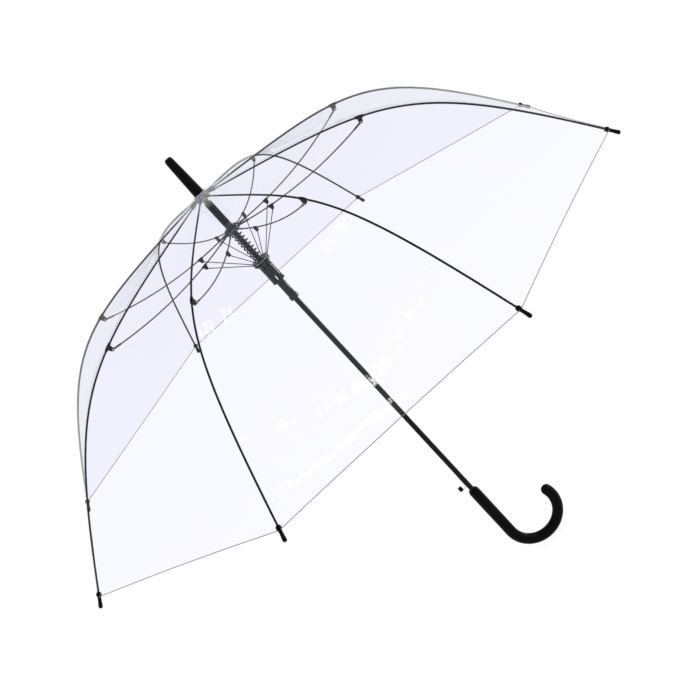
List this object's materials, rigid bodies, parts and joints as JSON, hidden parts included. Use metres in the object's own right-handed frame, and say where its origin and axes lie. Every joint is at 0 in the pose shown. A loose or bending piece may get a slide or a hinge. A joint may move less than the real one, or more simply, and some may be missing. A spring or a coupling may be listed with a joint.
{
  "type": "umbrella",
  "caption": "Automatic stick umbrella with a clear dome canopy on black ribs, hinged stretchers and links, a sliding runner on a slim black shaft and a curved hook handle",
  "frame": {"origin": "on the shaft axis, half way down the straight part of the hand grip", "axes": "+Z along the shaft towards the ferrule, +X the way the hook bends, the latch button on the -X side"},
  "size_m": [0.9564, 0.9564, 0.8382],
  "materials": {
    "black_plastic": "black moulded plastic, satin gloss",
    "shaft_steel": "black coated steel tube",
    "rib_fibre": "black glass-fibre rod",
    "stretcher_fibre": "black glass-fibre rod",
    "link_fibre": "thin black rod",
    "frosted_plastic": "pale blue-grey translucent plastic",
    "bright_wire": "plated binding wire",
    "latch_steel": "spring steel strip",
    "spring_steel": "dark coated spring wire",
    "clear_film": "clear vinyl film with a faint lavender tint"
  },
  "bodies": {
    "umbrella_frame": {"shaft_tube": "shaft_steel", "ferrule": "black_plastic", "crown_washer": "frosted_plastic", "top_notch": "frosted_plastic", "notch_wire": "bright_wire", "canopy": "clear_film", "handle_grip": "black_plastic"},
    "sliding_runner": {"runner": "black_plastic"},
    "sliding_hub": {"middle_hub": "black_plastic", "hub_wire": "bright_wire", "opening_spring": "spring_steel"},
    "open_catch": {"top_catch": "latch_steel"},
    "latch_lever": {"hand_latch": "latch_steel", "latch_button": "black_plastic"},
    "rib_arm_1": {"rib_1": "rib_fibre", "tip_1": "black_plastic", "bracket_1": "black_plastic"},
    "stretcher_arm_1": {"stretcher_1": "stretcher_fibre"},
    "link_arm_1": {"link_1": "link_fibre"},
    "rib_arm_2": {"rib_2": "rib_fibre", "tip_2": "black_plastic", "bracket_2": "black_plastic"},
    "stretcher_arm_2": {"stretcher_2": "stretcher_fibre"},
    "link_arm_2": {"link_2": "link_fibre"},
    "rib_arm_3": {"rib_3": "rib_fibre", "tip_3": "black_plastic", "bracket_3": "black_plastic"},
    "stretcher_arm_3": {"stretcher_3": "stretcher_fibre"},
    "link_arm_3": {"link_3": "link_fibre"},
    "rib_arm_4": {"rib_4": "rib_fibre", "tip_4": "black_plastic", "bracket_4": "black_plastic"},
    "stretcher_arm_4": {"stretcher_4": "stretcher_fibre"},
    "link_arm_4": {"link_4": "link_fibre"},
    "rib_arm_5": {"rib_5": "rib_fibre", "tip_5": "black_plastic", "bracket_5": "black_plastic"},
    "stretcher_arm_5": {"stretcher_5": "stretcher_fibre"},
    "link_arm_5": {"link_5": "link_fibre"},
    "rib_arm_6": {"rib_6": "rib_fibre", "tip_6": "black_plastic", "bracket_6": "black_plastic"},
    "stretcher_arm_6": {"stretcher_6": "stretcher_fibre"},
    "link_arm_6": {"link_6": "link_fibre"},
    "rib_arm_7": {"rib_7": "rib_fibre", "tip_7": "black_plastic", "bracket_7": "black_plastic"},
    "stretcher_arm_7": {"stretcher_7": "stretcher_fibre"},
    "link_arm_7": {"link_7": "link_fibre"},
    "rib_arm_8": {"rib_8": "rib_fibre", "tip_8": "black_plastic", "bracket_8": "black_plastic"},
    "stretcher_arm_8": {"stretcher_8": "stretcher_fibre"},
    "link_arm_8": {"link_8": "link_fibre"}
  },
  "joints": [
    {"name": "runner_slide", "type": "slide", "parent": "umbrella_frame", "child": "sliding_runner", "axis": [0, 0, -1], "range_m": [0, 0.3592], "stiffness_N_per_m": 30, "springref_m": -0.25, "deforming": ["canopy", "opening_spring"]},
    {"name": "hub_slide", "type": "slide", "parent": "umbrella_frame", "child": "sliding_hub", "axis": [0, 0, -1], "range_m": [0, 0.4016]},
    {"name": "top_catch_press", "type": "slide", "parent": "umbrella_frame", "child": "open_catch", "axis": [0, 1, 0], "range_m": [0, 0.0025], "stiffness_N_per_m": 800, "springref_m": -0.001},
    {"name": "latch_press", "type": "slide", "parent": "umbrella_frame", "child": "latch_lever", "axis": [1, 0, 0], "range_m": [0, 0.003], "stiffness_N_per_m": 900, "springref_m": -0.001},
    {"name": "rib_fold_1", "type": "hinge", "parent": "umbrella_frame", "child": "rib_arm_1", "pos_m": [0.00739, -0.00306, 0.6645], "axis": [0.3827, 0.9239, 0], "range_deg": [0, 60]},
    {"name": "stretcher_fold_1", "type": "hinge", "parent": "rib_arm_1", "child": "stretcher_arm_1", "pos_m": [0.23084, -0.09562, 0.60962], "axis": [-0.3827, -0.9239, 0], "range_deg": [0, 130.4]},
    {"name": "link_fold_1", "type": "hinge", "parent": "stretcher_arm_1", "child": "link_arm_1", "pos_m": [0.06334, -0.02624, 0.58902], "axis": [0.3827, 0.9239, 0], "range_deg": [0, 43.65]},
    {"name": "rib_fold_2", "type": "hinge", "parent": "umbrella_frame", "child": "rib_arm_2", "pos_m": [0.00306, -0.00739, 0.6645], "axis": [0.9239, 0.3827, 0], "range_deg": [0, 60]},
    {"name": "stretcher_fold_2", "type": "hinge", "parent": "rib_arm_2", "child": "stretcher_arm_2", "pos_m": [0.09562, -0.23084, 0.60962], "axis": [-0.9239, -0.3827, 0], "range_deg": [0, 130.4]},
    {"name": "link_fold_2", "type": "hinge", "parent": "stretcher_arm_2", "child": "link_arm_2", "pos_m": [0.02624, -0.06334, 0.58902], "axis": [0.9239, 0.3827, 0], "range_deg": [0, 43.65]},
    {"name": "rib_fold_3", "type": "hinge", "parent": "umbrella_frame", "child": "rib_arm_3", "pos_m": [-0.00306, -0.00739, 0.6645], "axis": [0.9239, -0.3827, 0], "range_deg": [0, 60]},
    {"name": "stretcher_fold_3", "type": "hinge", "parent": "rib_arm_3", "child": "stretcher_arm_3", "pos_m": [-0.09562, -0.23084, 0.60962], "axis": [-0.9239, 0.3827, 0], "range_deg": [0, 130.4]},
    {"name": "link_fold_3", "type": "hinge", "parent": "stretcher_arm_3", "child": "link_arm_3", "pos_m": [-0.02624, -0.06334, 0.58902], "axis": [0.9239, -0.3827, 0], "range_deg": [0, 43.65]},
    {"name": "rib_fold_4", "type": "hinge", "parent": "umbrella_frame", "child": "rib_arm_4", "pos_m": [-0.00739, -0.00306, 0.6645], "axis": [0.3827, -0.9239, 0], "range_deg": [0, 60]},
    {"name": "stretcher_fold_4", "type": "hinge", "parent": "rib_arm_4", "child": "stretcher_arm_4", "pos_m": [-0.23084, -0.09562, 0.60962], "axis": [-0.3827, 0.9239, 0], "range_deg": [0, 130.4]},
    {"name": "link_fold_4", "type": "hinge", "parent": "stretcher_arm_4", "child": "link_arm_4", "pos_m": [-0.06334, -0.02624, 0.58902], "axis": [0.3827, -0.9239, 0], "range_deg": [0, 43.65]},
    {"name": "rib_fold_5", "type": "hinge", "parent": "umbrella_frame", "child": "rib_arm_5", "pos_m": [-0.00739, 0.00306, 0.6645], "axis": [-0.3827, -0.9239, 0], "range_deg": [0, 60]},
    {"name": "stretcher_fold_5", "type": "hinge", "parent": "rib_arm_5", "child": "stretcher_arm_5", "pos_m": [-0.23084, 0.09562, 0.60962], "axis": [0.3827, 0.9239, 0], "range_deg": [0, 130.4]},
    {"name": "link_fold_5", "type": "hinge", "parent": "stretcher_arm_5", "child": "link_arm_5", "pos_m": [-0.06334, 0.02624, 0.58902], "axis": [-0.3827, -0.9239, 0], "range_deg": [0, 43.65]},
    {"name": "rib_fold_6", "type": "hinge", "parent": "umbrella_frame", "child": "rib_arm_6", "pos_m": [-0.00306, 0.00739, 0.6645], "axis": [-0.9239, -0.3827, 0], "range_deg": [0, 60]},
    {"name": "stretcher_fold_6", "type": "hinge", "parent": "rib_arm_6", "child": "stretcher_arm_6", "pos_m": [-0.09562, 0.23084, 0.60962], "axis": [0.9239, 0.3827, 0], "range_deg": [0, 130.4]},
    {"name": "link_fold_6", "type": "hinge", "parent": "stretcher_arm_6", "child": "link_arm_6", "pos_m": [-0.02624, 0.06334, 0.58902], "axis": [-0.9239, -0.3827, 0], "range_deg": [0, 43.65]},
    {"name": "rib_fold_7", "type": "hinge", "parent": "umbrella_frame", "child": "rib_arm_7", "pos_m": [0.00306, 0.00739, 0.6645], "axis": [-0.9239, 0.3827, 0], "range_deg": [0, 60]},
    {"name": "stretcher_fold_7", "type": "hinge", "parent": "rib_arm_7", "child": "stretcher_arm_7", "pos_m": [0.09562, 0.23084, 0.60962], "axis": [0.9239, -0.3827, 0], "range_deg": [0, 130.4]},
    {"name": "link_fold_7", "type": "hinge", "parent": "stretcher_arm_7", "child": "link_arm_7", "pos_m": [0.02624, 0.06334, 0.58902], "axis": [-0.9239, 0.3827, 0], "range_deg": [0, 43.65]},
    {"name": "rib_fold_8", "type": "hinge", "parent": "umbrella_frame", "child": "rib_arm_8", "pos_m": [0.00739, 0.00306, 0.6645], "axis": [-0.3827, 0.9239, 0], "range_deg": [0, 60]},
    {"name": "stretcher_fold_8", "type": "hinge", "parent": "rib_arm_8", "child": "stretcher_arm_8", "pos_m": [0.23084, 0.09562, 0.60962], "axis": [0.3827, -0.9239, 0], "range_deg": [0, 130.4]},
    {"name": "link_fold_8", "type": "hinge", "parent": "stretcher_arm_8", "child": "link_arm_8", "pos_m": [0.06334, 0.02624, 0.58902], "axis": [-0.3827, 0.9239, 0], "range_deg": [0, 43.65]}
  ],
  "couplings": [
    {"joint": "hub_slide", "follows": "runner_slide", "ratio": 1.118},
    {"joint": "rib_fold_1", "follows": "runner_slide", "rad_per_m": 2.9154},
    {"joint": "stretcher_fold_1", "follows": "runner_slide", "rad_per_m": 6.336},
    {"joint": "link_fold_1", "follows": "runner_slide", "rad_per_m": 2.1207},
    {"joint": "rib_fold_2", "follows": "runner_slide", "rad_per_m": 2.9154},
    {"joint": "stretcher_fold_2", "follows": "runner_slide", "rad_per_m": 6.336},
    {"joint": "link_fold_2", "follows": "runner_slide", "rad_per_m": 2.1207},
    {"joint": "rib_fold_3", "follows": "runner_slide", "rad_per_m": 2.9154},
    {"joint": "stretcher_fold_3", "follows": "runner_slide", "rad_per_m": 6.336},
    {"joint": "link_fold_3", "follows": "runner_slide", "rad_per_m": 2.1207},
    {"joint": "rib_fold_4", "follows": "runner_slide", "rad_per_m": 2.9154},
    {"joint": "stretcher_fold_4", "follows": "runner_slide", "rad_per_m": 6.336},
    {"joint": "link_fold_4", "follows": "runner_slide", "rad_per_m": 2.1207},
    {"joint": "rib_fold_5", "follows": "runner_slide", "rad_per_m": 2.9154},
    {"joint": "stretcher_fold_5", "follows": "runner_slide", "rad_per_m": 6.336},
    {"joint": "link_fold_5", "follows": "runner_slide", "rad_per_m": 2.1207},
    {"joint": "rib_fold_6", "follows": "runner_slide", "rad_per_m": 2.9154},
    {"joint": "stretcher_fold_6", "follows": "runner_slide", "rad_per_m": 6.336},
    {"joint": "link_fold_6", "follows": "runner_slide", "rad_per_m": 2.1207},
    {"joint": "rib_fold_7", "follows": "runner_slide", "rad_per_m": 2.9154},
    {"joint": "stretcher_fold_7", "follows": "runner_slide", "rad_per_m": 6.336},
    {"joint": "link_fold_7", "follows": "runner_slide", "rad_per_m": 2.1207},
    {"joint": "rib_fold_8", "follows": "runner_slide", "rad_per_m": 2.9154},
    {"joint": "stretcher_fold_8", "follows": "runner_slide", "rad_per_m": 6.336},
    {"joint": "link_fold_8", "follows": "runner_slide", "rad_per_m": 2.1207}
  ]
}
